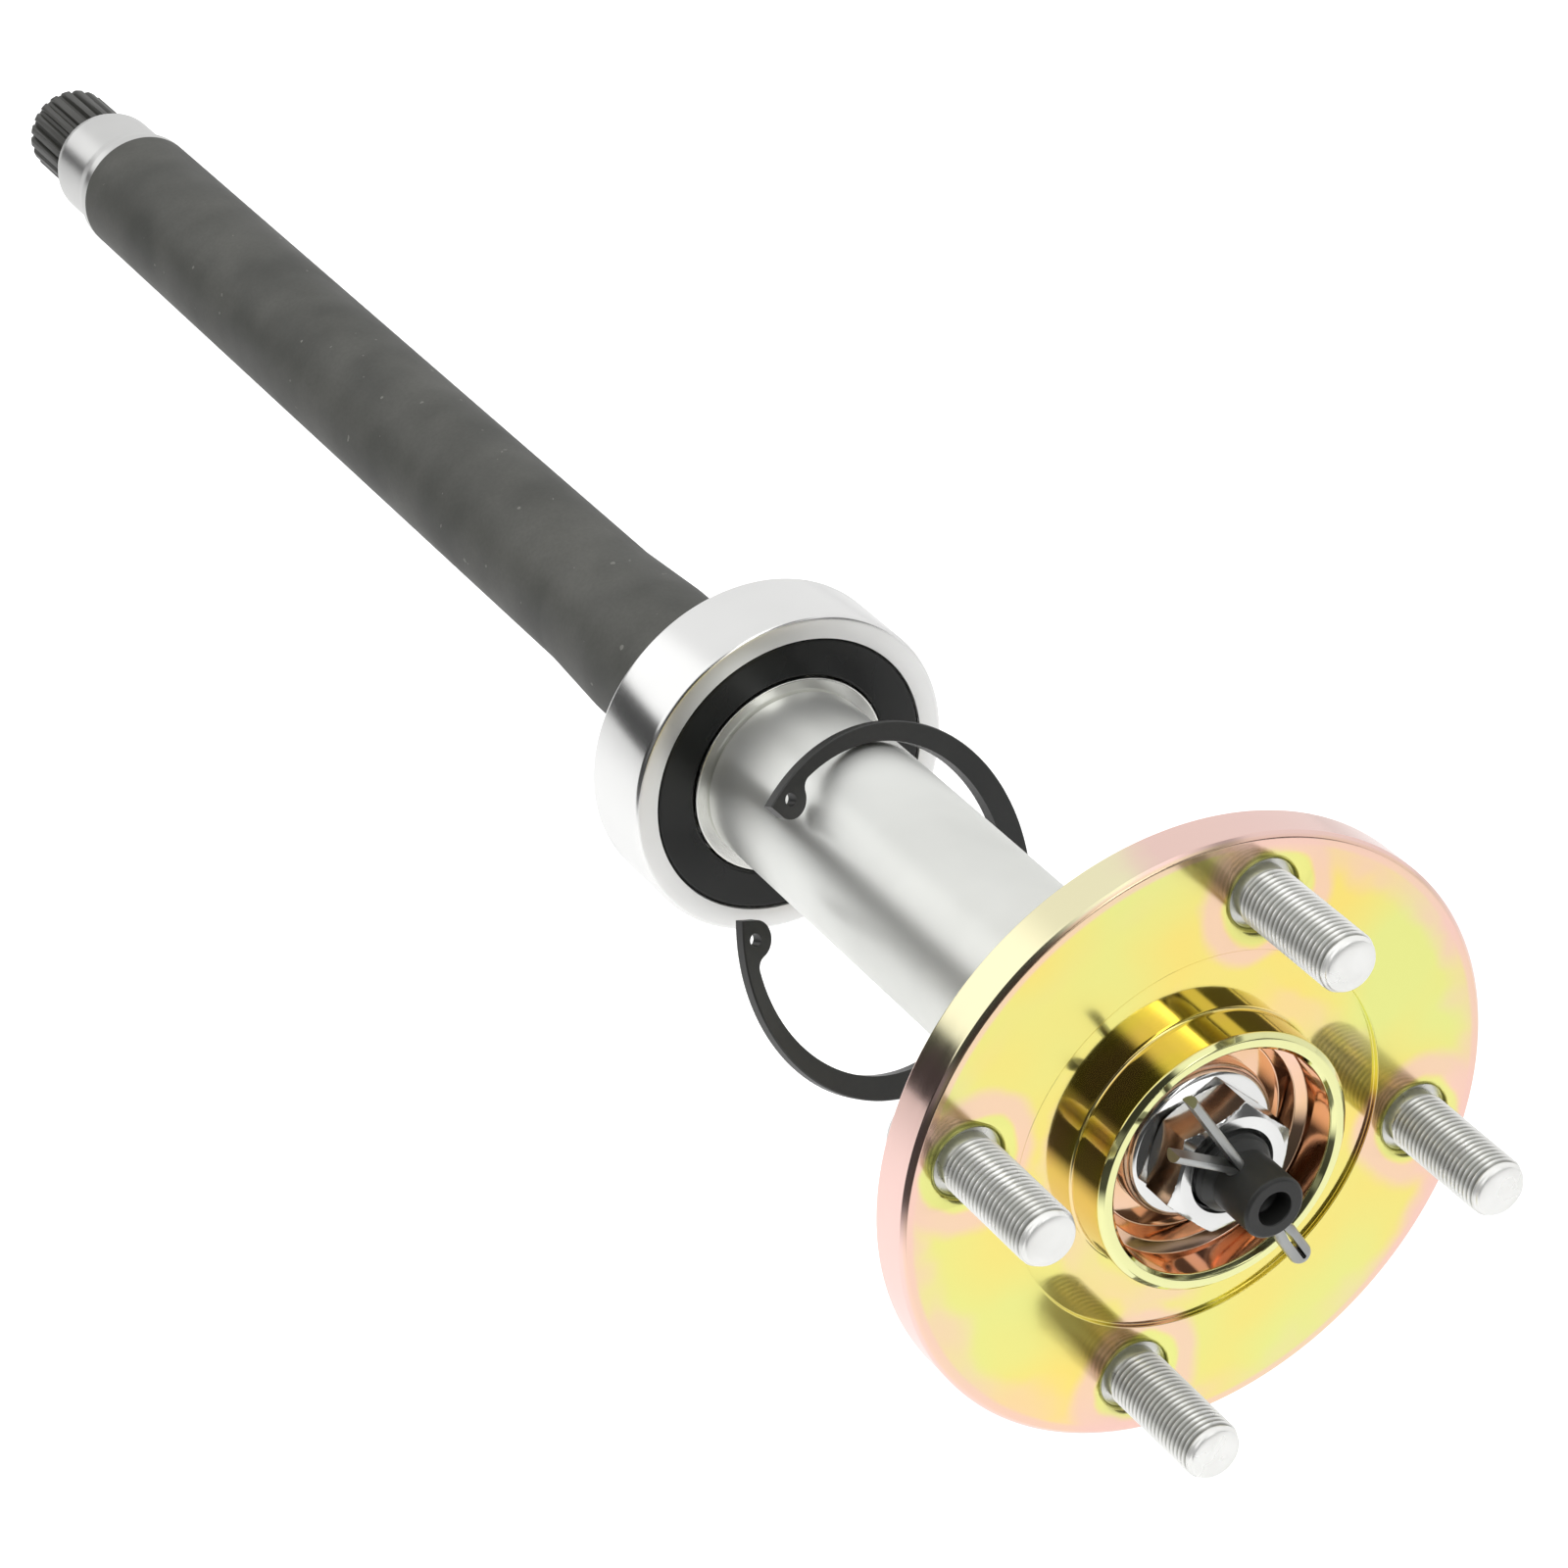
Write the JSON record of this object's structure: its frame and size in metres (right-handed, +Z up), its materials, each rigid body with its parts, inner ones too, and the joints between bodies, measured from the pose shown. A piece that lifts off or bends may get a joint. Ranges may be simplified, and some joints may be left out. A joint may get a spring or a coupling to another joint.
{
  "type": "rear axle assembly",
  "caption": "Splined half shaft with a sealed ball bearing, spacer sleeve, loose snap ring and a studded wheel hub held by a nut and cotter pin.",
  "frame": {"origin": "middle of the ball bearing, on the axle's centreline", "axes": "+Y along the axle towards the wheel, +Z up"},
  "size_m": [0.127, 0.5536, 0.127],
  "materials": {
    "dark_steel": "dull dark phosphate, worn bright on the journal",
    "bearing_steel": "ground and polished",
    "ball_steel": "polished",
    "cage_steel": "pressed sheet",
    "seal_rubber": "smooth black moulded rubber",
    "satin_steel": "bright turned and polished",
    "spring_steel": "dark grey phosphate",
    "yellow_zinc": "yellow zinc plate with a rainbow sheen",
    "bright_zinc": "bright zinc plate",
    "stud_zinc": "clear zinc plate",
    "grey_zinc": "dull grey zinc"
  },
  "bodies": {
    "axle": {"axle_shaft": "dark_steel", "bearing_inner_ring": "bearing_steel", "spacer_sleeve": "satin_steel", "snap_ring": "spring_steel", "hub": "yellow_zinc", "wheel_stud_1": "stud_zinc", "wheel_stud_2": "stud_zinc", "wheel_stud_3": "stud_zinc", "wheel_stud_4": "stud_zinc", "hub_washer": "bright_zinc", "axle_nut": "bright_zinc", "cotter_pin": "grey_zinc"},
    "bearing_outer": {"bearing_outer_ring": "bearing_steel", "seal_inboard": "seal_rubber", "seal_outboard": "seal_rubber"},
    "bearing_cage": {"cage_half_inboard": "cage_steel", "cage_half_outboard": "cage_steel", "cage_rivets": "cage_steel"},
    "ball_1_body": {"ball_1": "ball_steel"},
    "ball_2_body": {"ball_2": "ball_steel"},
    "ball_3_body": {"ball_3": "ball_steel"},
    "ball_4_body": {"ball_4": "ball_steel"},
    "ball_5_body": {"ball_5": "ball_steel"},
    "ball_6_body": {"ball_6": "ball_steel"},
    "ball_7_body": {"ball_7": "ball_steel"},
    "ball_8_body": {"ball_8": "ball_steel"}
  },
  "joints": [
    {"name": "bearing_spin", "type": "hinge", "parent": "axle", "child": "bearing_outer", "pos_m": [0, 0, 0], "axis": [0, 1, 0], "continuous": true},
    {"name": "cage_spin", "type": "hinge", "parent": "axle", "child": "bearing_cage", "pos_m": [0, 0, 0], "axis": [0, 1, 0], "continuous": true},
    {"name": "ball_1_spin", "type": "hinge", "parent": "bearing_cage", "child": "ball_1_body", "pos_m": [0.02396, 0, 0.00872], "axis": [0, 1, 0], "continuous": true},
    {"name": "ball_2_spin", "type": "hinge", "parent": "bearing_cage", "child": "ball_2_body", "pos_m": [0.01078, 0, 0.02311], "axis": [0, 1, 0], "continuous": true},
    {"name": "ball_3_spin", "type": "hinge", "parent": "bearing_cage", "child": "ball_3_body", "pos_m": [-0.00872, 0, 0.02396], "axis": [0, 1, 0], "continuous": true},
    {"name": "ball_4_spin", "type": "hinge", "parent": "bearing_cage", "child": "ball_4_body", "pos_m": [-0.02311, 0, 0.01078], "axis": [0, 1, 0], "continuous": true},
    {"name": "ball_5_spin", "type": "hinge", "parent": "bearing_cage", "child": "ball_5_body", "pos_m": [-0.02396, 0, -0.00872], "axis": [0, 1, 0], "continuous": true},
    {"name": "ball_6_spin", "type": "hinge", "parent": "bearing_cage", "child": "ball_6_body", "pos_m": [-0.01078, 0, -0.02311], "axis": [0, 1, 0], "continuous": true},
    {"name": "ball_7_spin", "type": "hinge", "parent": "bearing_cage", "child": "ball_7_body", "pos_m": [0.00872, 0, -0.02396], "axis": [0, 1, 0], "continuous": true},
    {"name": "ball_8_spin", "type": "hinge", "parent": "bearing_cage", "child": "ball_8_body", "pos_m": [0.02311, 0, -0.01078], "axis": [0, 1, 0], "continuous": true}
  ],
  "couplings": [
    {"joint": "cage_spin", "follows": "bearing_spin", "ratio": 0.62059},
    {"joint": "ball_1_spin", "follows": "bearing_spin", "ratio": 1.9526},
    {"joint": "ball_2_spin", "follows": "bearing_spin", "ratio": 1.9526},
    {"joint": "ball_3_spin", "follows": "bearing_spin", "ratio": 1.9526},
    {"joint": "ball_4_spin", "follows": "bearing_spin", "ratio": 1.9526},
    {"joint": "ball_5_spin", "follows": "bearing_spin", "ratio": 1.9526},
    {"joint": "ball_6_spin", "follows": "bearing_spin", "ratio": 1.9526},
    {"joint": "ball_7_spin", "follows": "bearing_spin", "ratio": 1.9526},
    {"joint": "ball_8_spin", "follows": "bearing_spin", "ratio": 1.9526}
  ]
}
